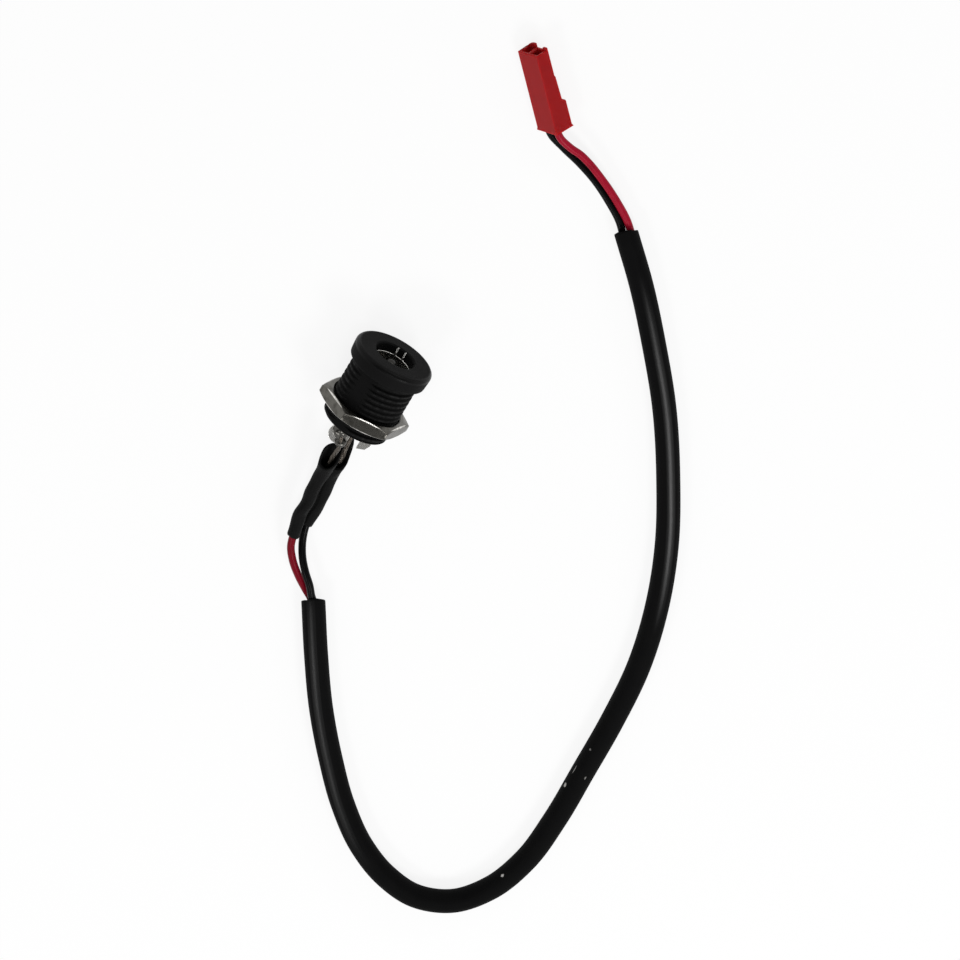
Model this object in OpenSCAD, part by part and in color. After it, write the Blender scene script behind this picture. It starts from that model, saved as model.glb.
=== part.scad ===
// Panel-mount charging socket of an electric scooter, with its two-core lead and two-way connector.
// Millimetres. The socket lies on a flat of its nut, its axis along Y and its mouth towards -Y.
// "Depth" is the distance behind the socket's face, and the floor is z = 0.

/* [Socket body] */
// Diameter of the front flange
flange_d = 14; // [13.2:0.1:15]
// Thickness of the front flange
flange_t = 3; // [2.4:0.1:3.8]
// Radius of the flange's front edge
flange_round = 0.8; // [0.4:0.1:1.6]
// Radius that the flange's rim loses from its front to its rear
flange_taper = 0.15; // [0:0.05:0.3]
// Outer diameter of the barrel's thread
thread_d = 11.8; // [11.6:0.1:12.4]
// Pitch of the thread
thread_pitch = 1; // [0.8:0.05:1.2]
// Radial depth of the thread
thread_depth = 0.4; // [0.3:0.05:0.45]
// Width across the barrel's two flats
barrel_flats = 10.9; // [10.7:0.1:11.2]
// Lean of the flats, away from level
flats_lean = 36; // [0:1:90]
// Depth of the barrel's rear end
barrel_end = 14.4; // [13.9:0.1:14.6]
// Length of the plain collar where the thread runs out against the flange
collar_l = 0.5; // [0.45:0.05:0.7]
// Diameter of the socket's mouth
mouth_d = 7; // [6.8:0.1:7.2]
// Depth of the contact shell's front edge, inside the mouth
shell_start = 1.5; // [1.2:0.1:2.4]
// Depth of the socket's floor
socket_depth = 9.3; // [9:0.1:9.8]

/* [Nut] */
// Width across the nut's flats
nut_flats = 14; // [13.6:0.1:15]
// Thickness of the nut
nut_t = 2.3; // [1.8:0.1:2.6]
// Depth of the nut's front face
nut_at = 9.9; // [6:0.1:11]
// Radial play between the nut and the barrel
nut_play = 0.05; // [0.02:0.01:0.1]

/* [Contacts] */
// Thickness of the contacts' sheet metal
sheet_t = 0.3; // [0.25:0.05:0.35]
// Diameter of the centre pin
pin_d = 2.1; // [1.9:0.1:2.5]
// Depth of the centre pin's tip
pin_tip = 1; // [0.6:0.1:2]
// Diameter of the pin's riveted shank
shank_d = 1.5; // [1.2:0.1:1.7]
// Diameter of the insulating core
core_d = 9.2; // [9:0.1:9.4]
// Depth of the insulating core's rear face inside the barrel's end
core_recess = 1.2; // [0.9:0.1:1.6]
// Reach of the longest lug behind the barrel
lug_reach = 4.2; // [3.9:0.1:5.1]
// Width of the centre contact's lug at its eye
lug_w = 3.6; // [3:0.1:4]
// Height of the centre contact's lug above the axis
lug_rise = 1; // [0.8:0.1:1.3]
// Width of the shell contact's tail
tail_w = 2; // [1.6:0.1:2.4]
// Width of the switch contact's tab
tab_w = 1.9; // [1.6:0.1:2]

/* [Lead] */
// Diameter of the cable's jacket
jacket_d = 4; // [3.8:0.1:4.4]
// Diameter of each insulated wire
wire_d = 1.3; // [1.1:0.05:1.35]
// Diameter of the bare strands of each wire
strand_d = 0.8; // [0.6:0.05:0.9]
// Diameter of the heat-shrink sleeves
sleeve_d = 2.2; // [2:0.05:2.3]
// Play around the wires in the jacket and in the sleeves
wire_play = 0.05; // [0.02:0.01:0.08]

/* [Connector] */
// Length of the connector's housing
conn_l = 14.8; // [13.6:0.1:16]
// Width of the housing
conn_w = 4.8; // [4.7:0.1:5.2]
// Thickness of the housing
conn_h = 2.6; // [2.5:0.1:3]
// Distance between its two ways
conn_pitch = 2.2; // [2.1:0.05:2.3]
// Width and height of each way's cavity
cavity = 1.7; // [1.6:0.05:1.75]
// Height of the latch block under the housing
latch_h = 1; // [0.7:0.05:1.2]
// Length of the latch block
latch_l = 5.2; // [4:0.1:6]

/* [Hidden] */
$fn = 96;
eps = 0.01;
cord_sides = 8;

// The socket rests on its nut or its flange, whichever is larger, with its length centred on the origin
axis_z = max(flange_d, nut_flats) / 2;
socket_len = barrel_end + lug_reach;
core_end = barrel_end - core_recess;
face_y = -socket_len / 2;
tip_y = socket_len / 2;

thread_r = thread_d / 2;
root_r = thread_r - thread_depth;
mouth_r = mouth_d / 2;
core_r = core_d / 2;
shell_r = mouth_r - sheet_t;

// The tail's outer corners lie just inside the shell's circle
tail_drop = sqrt(pow(mouth_r - 0.03, 2) - pow(tail_w / 2, 2));
tail_top = axis_z - tail_drop + sheet_t;

// The centre contact's lug: the middle of its eye, and its upper face
lug_x = 1.7;
lug_y = tip_y - lug_w / 2 - 0.2;
lug_top = axis_z + lug_rise + sheet_t;

// The switch contact's leaf stands on the socket's -X side, clear of the shell
leaf_w = 1.6;
leaf_x = sqrt(pow(shell_r, 2) - pow(leaf_w / 2, 2)) - 0.15;
tab_x = -3.3;
tab_drop = 0.6;

// The housing lies on the lips of its lower long edge and of its latch block, which sets its roll, and its
// mating end points along conn_heading
conn_heading = -49;
conn_lip = 0.3;
latch_side = 1.55;
conn_roll = atan2(latch_h + conn_lip, conn_w / 2 + conn_lip - latch_side);
conn_low = (conn_w / 2 + conn_lip) * sin(conn_roll) + conn_h / 2 * cos(conn_roll);
conn_at = [0.5, -61.6, conn_low];
term_front = conn_l / 2 - 2.6;
term_back = -conn_l / 2 + 3.2;
term_h = cavity - 0.2;

function unit(v) = v / norm(v);

// Direction of a route at one of its points
function heading(p, i) =
    i == 0 ? unit(p[1] - p[0]) :
    i == len(p) - 1 ? unit(p[i] - p[i - 1]) :
    unit(unit(p[i + 1] - p[i]) + unit(p[i] - p[i - 1]));

// Level direction across a route, to the right of its heading
function across(t) = unit(cross(t, [0, 0, 1]));

// A route that winds about another one between two angles, where 0 is to its right and 90 is above it
function around(p, gap, from, to) = [
    for (i = [0:len(p) - 1])
        let (t = heading(p, i), a = across(t), u = cross(a, t), w = from + (to - from) * i / (len(p) - 1))
            p[i] + gap * (cos(w) * a + sin(w) * u)
];

// A route that starts and ends a little further out
function longer(p, e) = [
    for (i = [0:len(p) - 1])
        i == 0 ? p[0] - e * heading(p, 0) : i == len(p) - 1 ? p[i] + e * heading(p, i) : p[i]
];

// A point moved a little towards another one
function nearer(p, q) = p + 0.15 * unit(q - p);

// A point of the connector's own frame, in the part's frame
function conn_point(p) = conn_at + [
    p[0] * cos(conn_heading) - (p[1] * cos(conn_roll) + p[2] * sin(conn_roll)) * sin(conn_heading),
    p[0] * sin(conn_heading) + (p[1] * cos(conn_roll) + p[2] * sin(conn_roll)) * cos(conn_heading),
    p[2] * cos(conn_roll) - p[1] * sin(conn_roll)
];

// Centreline of the cable's jacket, from the socket's end to the connector's end
jacket_z = jacket_d / 2;
jacket_route = [
    [-10.5, 39.5, jacket_z], [-15.5, 48, jacket_z], [-20.8, 56.3, jacket_z], [-26.6, 63.9, jacket_z],
    [-32.5, 70.6, jacket_z], [-38.9, 76, jacket_z], [-44.9, 79, jacket_z], [-51, 80, jacket_z],
    [-56.8, 78, jacket_z], [-61.2, 73, jacket_z], [-63.9, 65.6, jacket_z], [-64.7, 56.5, jacket_z],
    [-64.6, 46.5, jacket_z], [-64.4, 36, jacket_z], [-63.5, 25, jacket_z], [-61, 14, jacket_z],
    [-57, 3, jacket_z], [-51.4, -8, jacket_z], [-44.8, -19, jacket_z], [-37.5, -28.9, jacket_z],
    [-30.8, -37.2, jacket_z], [-24, -44.6, jacket_z]
];

// The wires wind about each other in the jacket, clear of each other's corners
wire_corner = wire_d / 2 / cos(180 / cord_sides);
wire_gap = wire_corner + wire_play;

// Bare strands, from each lug to the end of the wire's insulation
red_bare = [
    [lug_x, lug_y - 0.8, lug_top + strand_d / 2], [lug_x - 1, lug_y + 1.7, lug_top + strand_d / 2],
    [0.4, tip_y + 2.3, lug_top - 1.1], [0, tip_y + 5.5, lug_top - 2.6]
];
black_bare = [
    [-1.2, tip_y - 2, tail_top + strand_d / 2], [-1.3, tip_y + 0.3, tail_top + strand_d / 2],
    [-1.7, tip_y + 3.2, tail_top + 0.2], [-2, tip_y + 5, tail_top - 0.2]
];

// Insulated wires from the strands to the jacket, and from the jacket to the connector
red_out = [
    [0, 18.5, 4.9], [-0.4, 22, 4.4], [-0.6, 25.5, 3.9], [-1.5, 29.5, 3.4], [-2.2, 31.7, 3.1],
    [-3.6, 33.8, 2.8], [-5.9, 36.2, 2.2], [-8.5, 38.4, 1.4]
];
black_out = [
    [-1.8, 17.1, 3.1], [-2.5, 20.5, 2.5], [-2.8, 23.5, 2], [-2.8, 27.2, 1.7], [-3.6, 30.2, 1.9],
    [-5.2, 33.2, 2.5], [-6.6, 34.9, 2.9], [-8.4, 36.8, 3], [-9.7, 38.5, 2.9]
];
red_in = [
    [-22.9, -47, 2.1], [-20.4, -48.9, 2.2], [-18.1, -50.2, 2.3], [-15.3, -51.8, 2.4], [-12.6, -53.2, 2.6],
    [-10.6, -54, 2.8], [-8.4, -54.5, 3.1]
];
black_in = [
    [-22, -45.9, 1.9], [-18.7, -48.3, 1.8], [-15.2, -50.4, 1.7], [-11.1, -52.2, 1.7], [-7.7, -53.4, 1.8]
];
way = conn_pitch / 2;
red_ends = [for (x = [-conn_l / 2 - 0.6, -conn_l / 2 + 0.8, term_back]) conn_point([x, -way, 0])];
black_ends = [for (x = [-conn_l / 2 - 0.6, -conn_l / 2 + 0.8, term_back]) conn_point([x, way, 0])];
red_route = concat(
    [nearer(red_bare[3], red_out[0])], red_out, around(jacket_route, wire_gap, -90, 360), red_in, red_ends
);
black_route = concat(
    [nearer(black_bare[3], black_out[0])], black_out, around(jacket_route, wire_gap, 90, 540), black_in,
    black_ends
);

// Each sleeve has slipped down its wire, and its torn mouth is wider than the rest
red_sleeve_route = [red_bare[2], red_bare[3], red_out[0], red_out[1], red_out[2], red_out[3]];
black_sleeve_route = [
    black_bare[2], black_bare[3], black_out[0], black_out[1], black_out[2], black_out[3]
];

// A round cord with flat sides, swept along a route: one radius at each point
module cord(p, radii) {
    n = len(p);
    s = cord_sides;
    rings = [
        for (i = [0:n - 1])
            let (t = heading(p, i), a = across(t), u = cross(a, t), r = radii[i] / cos(180 / s))
            for (k = [0:s - 1])
                let (w = 360 * (k + 0.5) / s) p[i] + r * (cos(w) * a + sin(w) * u)
    ];
    sides = [
        for (i = [0:n - 2]) for (k = [0:s - 1])
            let (j = (k + 1) % s) each [
                [i * s + k, i * s + j, (i + 1) * s + j],
                [i * s + k, (i + 1) * s + j, (i + 1) * s + k]
            ]
    ];
    first = [for (k = [s - 1:-1:0]) k];
    last = [for (k = [0:s - 1]) (n - 1) * s + k];
    polyhedron(points = rings, faces = concat(sides, [first, last]), convexity = 10);
}

function even(p, r) = [for (q = p) r];

// Places a shape drawn along +Z from the face, so that it lies along the socket's axis
module on_axis(depth = 0) {
    translate([0, face_y + depth, axis_z]) rotate([-90, 0, 0]) children();
}

// The barrel's ridges, grown by a radial allowance: each is a ring with a flat crest
module ridged(from, to, grow = 0) {
    turns = floor((to - from) / thread_pitch + eps);
    outline = [
        for (i = [0:turns - 1])
            let (z = from + i * thread_pitch) each [
                [root_r + grow, z], [root_r + grow, z + 0.15 * thread_pitch],
                [thread_r + grow, z + 0.45 * thread_pitch], [thread_r + grow, z + 0.7 * thread_pitch]
            ]
    ];
    rotate_extrude() polygon(concat([[0, from]], outline, [[root_r + grow, to], [0, to]]));
}

// Flange with a rounded edge and a tapered rim, ridged barrel with two flats, and the socket through it
module jack_body() {
    rear_r = flange_d / 2 - flange_taper;
    color("#17181a")
    difference() {
        on_axis() union() {
            rotate_extrude() union() {
                square([flange_d / 2 - flange_round, flange_t]);
                translate([flange_d / 2 - flange_round, flange_round]) circle(flange_round);
                polygon([
                    [0, flange_round], [flange_d / 2, flange_round], [rear_r, flange_t - 0.2],
                    [rear_r - 0.2, flange_t], [0, flange_t]
                ]);
            }
            intersection() {
                union() {
                    ridged(flange_t - eps, barrel_end);
                    translate([0, 0, flange_t - eps]) cylinder(r = thread_r, h = collar_l);
                }
                rotate(flats_lean)
                    translate([-thread_d, -barrel_flats / 2, 0])
                        cube([2 * thread_d, barrel_flats, barrel_end + 1]);
            }
        }
        on_axis(-1) cylinder(r = mouth_r, h = socket_depth + 2);
        on_axis(socket_depth) cylinder(r = core_r, h = barrel_end);
        // Countersunk edge of the mouth
        on_axis(-eps) cylinder(r1 = mouth_r + 0.25, r2 = mouth_r, h = 0.25);
    }
}

// Hexagonal nut, its corners chamfered on both faces, its ridges in the barrel's grooves
module hex_nut() {
    corner_r = nut_flats / sqrt(3);
    cut = 0.55;
    color("#9a9890")
    difference() {
        on_axis(nut_at) intersection() {
            cylinder(r = corner_r, h = nut_t, $fn = 6);
            rotate_extrude() polygon([
                [0, 0], [nut_flats / 2 - 0.1, 0], [corner_r + 0.2, cut + 0.1],
                [corner_r + 0.2, nut_t - cut - 0.1], [nut_flats / 2 - 0.1, nut_t], [0, nut_t]
            ]);
        }
        on_axis() ridged(flange_t - eps, barrel_end, nut_play);
    }
}

// Insulating core, pressed into the barrel's rear, which holds the three contacts apart
module insulating_core() {
    color("#1d1d1f")
    difference() {
        on_axis(socket_depth) cylinder(r = core_r, h = core_end - socket_depth);
        on_axis(socket_depth - 1) cylinder(d = shank_d, h = core_end);
        tail_bar(socket_depth - 1, core_end + 1);
        leaf_bar(socket_depth - 1, core_end + 1);
    }
}

// Centre pin with a round tip, a seat on the core, and a shank riveted over its lug
module centre_pin() {
    head = 0.5;
    color("#c9c7c0")
    on_axis() rotate_extrude() union() {
        intersection() {
            translate([0, pin_tip + pin_d / 2]) circle(pin_d / 2);
            translate([0, pin_tip]) square([pin_d, pin_d]);
        }
        translate([0, pin_tip + pin_d / 2]) square([pin_d / 2, socket_depth - pin_tip - pin_d / 2]);
        translate([0, socket_depth - 0.4]) square([pin_d / 2 + 0.4, 0.4]);
        square_from(socket_depth - eps, core_end + sheet_t + eps, shank_d / 2);
        translate([0, core_end + sheet_t]) intersection() {
            translate([0, head - 1.6]) circle(1.6);
            square([2, head]);
        }
    }
}

// Half of a plain shaft's section, between two depths
module square_from(from, to, r) {
    translate([0, from]) square([r, to - from]);
}

// Centre contact's lug: a plate under the rivet, bent level to an eye
module centre_lug() {
    neck = 0.7 * lug_w;
    shoulder = 0.1;
    color("#b9b4a8")
    difference() {
        union() {
            on_axis(core_end) linear_extrude(sheet_t) union() {
                circle(1.6);
                translate([lug_x - neck / 2, -lug_rise - sheet_t / 2])
                    square([neck, lug_rise + sheet_t / 2 + 0.6]);
            }
            translate([lug_x - neck / 2 + shoulder, face_y + core_end, lug_top - sheet_t])
                cube([neck - 2 * shoulder, lug_y - face_y - core_end, sheet_t]);
            translate([lug_x, lug_y, lug_top - sheet_t]) cylinder(d = lug_w, h = sheet_t);
        }
        on_axis(core_end - 1) cylinder(d = shank_d, h = 3);
        translate([lug_x, lug_y, 0]) cylinder(d = 1.1, h = 2 * axis_z);
    }
}

// The shell contact's tail, between two depths
module tail_bar(from, to) {
    translate([-tail_w / 2, face_y + from, tail_top - sheet_t]) cube([tail_w, to - from, sheet_t]);
}

// Shell contact: a rolled shell in the socket, a forked spring towards the mouth, and a tail with a lug
module shell_contact() {
    fork_front = 0.1;
    prong = 0.3;
    fork = 1.45;
    fork_lean = 23;
    color("#b8b6ae")
    union() {
        difference() {
            on_axis(fork_front) cylinder(r = mouth_r, h = socket_depth - fork_front);
            on_axis(-1) cylinder(r = shell_r, h = socket_depth + 2);
            // Ahead of the shell's edge, only the fork's two prongs are left, on the floor of the mouth
            on_axis(-1) rotate(fork_lean) difference() {
                translate([-mouth_d, -mouth_d, 0]) cube([2 * mouth_d, 2 * mouth_d, shell_start + 1]);
                for (side = [-1, 1])
                    translate([side * fork / 2 - prong / 2, 0, -1])
                        cube([prong, 2 * mouth_d, shell_start + 3]);
            }
        }
        tail_bar(socket_depth - 1.5, socket_len - tail_w / 2 - 0.3);
        translate([-0.6, tip_y - tail_w / 2 - 0.3, tail_top - sheet_t])
            cylinder(d = tail_w + 0.6, h = sheet_t);
    }
}

// The switch contact's upright leaf, between two depths
module leaf_bar(from, to) {
    translate([-leaf_x, face_y + from, axis_z - leaf_w / 2]) cube([sheet_t, to - from, leaf_w]);
}

// Switch contact: an upright spring leaf in the socket, and a level tab that is left unwired
module switch_contact() {
    color("#a9a6a0")
    union() {
        leaf_bar(socket_depth - 4, core_end + sheet_t);
        translate([0, face_y + core_end, axis_z - tab_drop])
            linear_extrude(sheet_t) polygon([
                [tab_x - tab_w / 2, 0], [tab_x + tab_w / 2, 0], [tab_x + tab_w / 2, 5.2],
                [tab_x - 0.4, 4.8], [tab_x - tab_w / 2, 3.8]
            ]);
    }
}

// Solder on the centre contact's eye, around the strands of the red wire
module red_solder() {
    color("#c4c2bc")
    difference() {
        union() {
            translate([lug_x, lug_y - 0.5, lug_top]) dome(1.35, 0.95);
            translate([lug_x, lug_y, lug_top - sheet_t]) cylinder(d = 1.1, h = sheet_t + 0.1);
        }
        red_strands();
    }
}

// Solder on the shell contact's lug, around the strands of the black wire
module black_solder() {
    color("#c4c2bc")
    difference() {
        translate([-1.2, tip_y - 1.4, tail_top]) dome(0.95, 0.9);
        black_strands();
    }
}

// A round mound of a given foot and height
module dome(foot, rise) {
    r = (pow(foot, 2) + pow(rise, 2)) / (2 * rise);
    rotate_extrude() intersection() {
        translate([0, rise - r]) circle(r);
        square([foot, rise]);
    }
}

// Tinned strands of the red wire
module red_strands() {
    color("#a58f76") cord(red_bare, even(red_bare, strand_d / 2));
}

// Tinned strands of the black wire
module black_strands() {
    color("#a58f76") cord(black_bare, even(black_bare, strand_d / 2));
}

// A heat-shrink sleeve along a route, its first end wider and cut aslant towards one side
module sleeve(p, slant) {
    wall = sleeve_d / 2 - wire_d / 2 - wire_play;
    bore = [for (i = [0:len(p) - 1]) wire_d / 2 + wire_play + (i == 0 ? 0.45 : i == 1 ? 0.25 : 0)];
    difference() {
        cord(p, [for (r = bore) r + wall]);
        cord(longer(p, 0.5), bore);
        translate(p[0] + [0, 0.4, 0]) rotate([0, 0, slant]) translate([-10, -20, -10]) cube(20);
    }
}

// Sleeve on the red wire
module red_sleeve() {
    color("#161616") sleeve(red_sleeve_route, -35);
}

// Sleeve on the black wire
module black_sleeve() {
    color("#161616") sleeve(black_sleeve_route, 25);
}

// Red wire, from its strands through the jacket to its terminal
module red_wire() {
    color("#b0172c") cord(red_route, even(red_route, wire_d / 2));
}

// Black wire, from its strands through the jacket to its terminal
module black_wire() {
    color("#151515") cord(black_route, even(black_route, wire_d / 2));
}

// Round jacket of the cable, around both wires
module cable_jacket() {
    bore = wire_gap + wire_corner + wire_play;
    color("#1b1b1c")
    difference() {
        cord(jacket_route, even(jacket_route, jacket_d / 2));
        cord(longer(jacket_route, 0.5), even(jacket_route, bore));
    }
}

// Places a shape drawn about the middle of the housing, its mating end along +X and its top along +Z
module on_connector() {
    translate(conn_at) rotate([0, 0, conn_heading]) rotate([-conn_roll, 0, 0]) children();
}

// Housing with two ways, a latch block and its ramp underneath, and a lip at the wires' end
module connector_housing() {
    wall = (conn_h - cavity) / 2;
    back = -conn_l / 2;
    key_tip = 0.75;
    key_r = 2.6;
    color("#b3191f")
    on_connector() difference() {
        union() {
            translate([back, -conn_w / 2, -conn_h / 2]) cube([conn_l, conn_w, conn_h]);
            // Two keys at the mating end, on the latch's side: a square one, and one with a round outline
            translate([conn_l / 2 - 1, -conn_w / 2, -conn_h / 2]) cube([1.45, 0.9, wall]);
            translate([conn_l / 2, 0, -conn_h / 2]) linear_extrude(wall) intersection() {
                translate([key_tip - key_r, 0.5]) circle(key_r);
                translate([-1, 0.2]) square([key_tip + 2, conn_w / 2 - 0.2]);
            }
            // Latch block, with a shallow ramp ahead of it
            translate([back, latch_side, -conn_h / 2]) rotate([90, 0, 0])
                linear_extrude(latch_side + conn_w / 2) polygon([
                    [0, 0], [0, -latch_h], [latch_l - 0.3, -latch_h], [latch_l, 0.3 - latch_h],
                    [latch_l, -0.3], [latch_l + 4.6, -0.15], [latch_l + 4.6, 0]
                ]);
            // Lip around the wires' end
            translate([back, latch_side, -conn_h / 2]) rotate([90, 0, 0])
                linear_extrude(latch_side + conn_w / 2)
                    polygon([[0, 0], [0, -latch_h - conn_lip], [0.5, -latch_h], [0.5, 0]]);
            translate([back, conn_w / 2 - 0.1, -conn_h / 2])
                linear_extrude(conn_h) polygon([[0, 0], [0, conn_lip + 0.1], [0.6, 0.1], [0.6, 0]]);
        }
        for (side = [-1, 1])
            translate([back - 1, side * way - cavity / 2, -cavity / 2]) cube([conn_l + 3, cavity, cavity]);
    }
}

// A crimp terminal in its way: a box contact towards the mating end, and a barrel against the wire
module terminal(side) {
    color("#b5aa86")
    on_connector() translate([0, side * way, 0]) difference() {
        union() {
            translate([term_back + 2.4, -cavity / 2 + 0.1, -cavity / 2])
                cube([term_front - term_back - 2.4, cavity - 0.2, term_h]);
            translate([term_back, -0.5, -cavity / 2]) cube([2.5, 1, term_h]);
        }
        translate([term_front - 3, -cavity / 2 + 0.3, -cavity / 2 + 0.2])
            cube([4, cavity - 0.6, term_h - 0.4]);
    }
}

module red_terminal() {
    terminal(-1);
}

module black_terminal() {
    terminal(1);
}

jack_body();
hex_nut();
insulating_core();
centre_pin();
centre_lug();
shell_contact();
switch_contact();
red_solder();
black_solder();
red_strands();
black_strands();
red_sleeve();
black_sleeve();
red_wire();
black_wire();
cable_jacket();
connector_housing();
red_terminal();
black_terminal();
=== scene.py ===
# %% [markdown]
# A panel-mount charging socket from an electric scooter lies on a white table with its lead and a small red
# connector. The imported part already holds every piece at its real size, so this lesson keeps its places and
# sizes. It makes the pieces that look better with finer form, such as the thread, the cords and the solder,
# and it gives every surface a finish.

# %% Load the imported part
import math

import bmesh
import bpy
import numpy as np
from mathutils import Matrix, Vector, noise


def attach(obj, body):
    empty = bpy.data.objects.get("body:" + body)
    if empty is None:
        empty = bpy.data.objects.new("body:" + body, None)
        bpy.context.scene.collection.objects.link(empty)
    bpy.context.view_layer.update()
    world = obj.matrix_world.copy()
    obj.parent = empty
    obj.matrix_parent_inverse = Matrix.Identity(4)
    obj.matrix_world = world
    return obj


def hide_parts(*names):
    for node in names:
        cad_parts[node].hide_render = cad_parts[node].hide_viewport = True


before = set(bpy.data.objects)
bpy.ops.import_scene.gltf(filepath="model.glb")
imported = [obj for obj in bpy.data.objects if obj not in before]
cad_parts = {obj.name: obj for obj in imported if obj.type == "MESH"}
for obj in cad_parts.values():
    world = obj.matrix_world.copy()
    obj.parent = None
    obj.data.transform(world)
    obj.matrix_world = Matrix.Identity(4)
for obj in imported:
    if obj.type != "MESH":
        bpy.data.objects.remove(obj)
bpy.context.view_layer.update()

MM = 0.001

# %% [markdown]
# The picture was taken from high above with a long lens, and it shows the object upside down: the socket's
# mouth points to the top. A camera can be aimed with a tracking constraint, but here its three directions are
# known, so they go straight into its matrix. One named point of the object, the middle of the socket's face,
# is pinned to its place in the picture, and the scale in pixels per millimetre sets the distance.

# %% Camera
AXIS_Z = 7.0
FACE_Y = -9.3
PICTURE = 960
PIXELS_PER_MM = 6.1
FACE_PIXEL = (395.7, 355.0)

azimuth, elevation = math.radians(28), math.radians(63)
towards = Vector((
    math.sin(azimuth) * math.cos(elevation), -math.cos(azimuth) * math.cos(elevation), math.sin(elevation)
))
picture_right = -Vector((math.cos(azimuth), math.sin(azimuth), 0.0))
picture_up = towards.cross(picture_right)
aim = Vector((0.0, FACE_Y, AXIS_Z))
aim += picture_right * ((PICTURE / 2 - FACE_PIXEL[0]) / PIXELS_PER_MM)
aim -= picture_up * ((PICTURE / 2 - FACE_PIXEL[1]) / PIXELS_PER_MM)

lens = bpy.data.cameras.new("long_lens")
lens.lens = 1200
lens.sensor_width = 36
distance = PICTURE / PIXELS_PER_MM * lens.lens / lens.sensor_width
camera = bpy.data.objects.new("camera", lens)
bpy.context.collection.objects.link(camera)
turn = Matrix((picture_right, picture_up, towards)).transposed().to_4x4()
camera.matrix_world = Matrix.Translation((aim + towards * distance) * MM) @ turn
lens.clip_start, lens.clip_end = 0.1, 20.0
bpy.context.scene.camera = camera
print("camera is", round(distance), "mm away")

# %% [markdown]
# A lead is a length of something soft, so everything on it is drawn around a line. The line goes through a few
# given points, the same ones that the solids follow. A curve object could do that too, but a mesh made
# row by row can have torn mouths, a wall thickness and a flare, and each of its points can remember where it
# lies on the straight lead. That memory is kept as an attribute, so grain and scuffs can run lengthwise.

# %% Smooth lines through route points
def smooth_line(points, step=0.2):
    """A smooth line through points, in millimetres, with its own points about a step apart."""
    knots = np.array(points, float)
    chord = np.concatenate([[0], np.cumsum(np.linalg.norm(np.diff(knots, axis=0), axis=1))])
    slope = np.gradient(knots, chord, axis=0)
    place = np.linspace(0, chord[-1], int(chord[-1] / step) + 2)
    i = np.clip(np.searchsorted(chord, place, side="right") - 1, 0, len(chord) - 2)
    gap = (chord[i + 1] - chord[i])[:, None]
    x = (place - chord[i])[:, None] / gap
    return (
        (2 * x**3 - 3 * x**2 + 1) * knots[i] + (x**3 - 2 * x**2 + x) * gap * slope[i]
        + (3 * x**2 - 2 * x**3) * knots[i + 1] + (x**3 - x**2) * gap * slope[i + 1]
    )


def lengths(line):
    return np.concatenate([[0], np.cumsum(np.linalg.norm(np.diff(line, axis=0), axis=1))])


def unit(v):
    return v / np.linalg.norm(v, axis=-1, keepdims=True)


def stations(line, along):
    """Middle, level cross direction and upward cross direction of a line at some lengths along it."""
    reach = lengths(line)
    inside = np.clip(along, 0, reach[-1])

    def at(s):
        return np.stack([np.interp(s, reach, line[:, k]) for k in range(3)], axis=-1)

    ahead = unit(at(np.minimum(inside + 0.3, reach[-1])) - at(np.maximum(inside - 0.3, 0)))
    across = unit(np.cross(ahead, [0.0, 0.0, 1.0]))
    middle = at(inside) + (along - inside)[..., None] * ahead
    return middle, across, np.cross(across, ahead)


# %% A mesh from rows of points
def wrapped(rows, closed):
    """Faces over rows of points: closed rows bite their own tail, and open ones get two end caps."""
    count, sides = rows.shape[:2]
    faces = [
        (i * sides + k, j * sides + k, j * sides + n, i * sides + n)
        for i, j in [(i, (i + 1) % count) for i in range(count if closed else count - 1)]
        for k, n in [(k, (k + 1) % sides) for k in range(sides)]
    ]
    if not closed:
        faces += [tuple(range(sides)), tuple((count - 1) * sides + k for k in reversed(range(sides)))]
    return faces


def make_piece(name, points, faces, skin=None):
    """A piece of the part from points in millimetres."""
    mesh = bpy.data.meshes.new(name)
    mesh.from_pydata((np.asarray(points).reshape(-1, 3) * MM).tolist(), [], faces)
    if skin is not None:
        stored = mesh.attributes.new("skin", "FLOAT_VECTOR", "POINT")
        stored.data.foreach_set("vector", np.asarray(skin, np.float32).ravel())
    shape = bmesh.new()
    shape.from_mesh(mesh)
    bmesh.ops.recalc_face_normals(shape, faces=shape.faces)
    shape.to_mesh(mesh)
    shape.free()
    mesh.shade_smooth()
    piece = bpy.data.objects.new(name, mesh)
    bpy.context.collection.objects.link(piece)
    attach(piece, "root")
    return piece


def side_angles(sides):
    return (np.arange(sides) + 0.5) * 2 * math.pi / sides


def around(line, rows, sides):
    """Points round a line. A row is a length along the line and a radius, each a number or one per side."""
    turn = side_angles(sides)
    along = np.array([np.broadcast_to(s, sides) for s, r in rows])
    radius = np.array([np.broadcast_to(r, sides) for s, r in rows])[..., None]
    middle, across, upward = stations(line, along)
    cos, sin = np.cos(turn)[:, None], np.sin(turn)[:, None]
    skin = np.stack([np.broadcast_to(np.cos(turn), along.shape), np.broadcast_to(np.sin(turn), along.shape), along], -1)
    return middle + radius * (cos * across + sin * upward), skin


def ragged(sides, amount, seed):
    """An uneven edge: one offset per side, from 0 to the amount."""
    turn = side_angles(sides)
    waves = [(1, 1.0), (2, 0.8), (3, 0.7), (5, 0.5), (8, 0.35)]
    draw = np.random.default_rng(seed)
    edge = sum(size * np.sin(n * turn + draw.uniform(0, 6.28)) for n, size in waves)
    return amount * (edge - edge.min()) / (edge.max() - edge.min())


# %% [markdown]
# The black jacket lies flat on the table in one long loop. It is a hollow tube: both cut ends show, with the two
# wires coming out of a ragged mouth. Both are cut aslant, so the upper side reaches further. The tube's rows go along
# the outside, round the lip at the far end, back through the bore and round the first lip.

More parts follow.
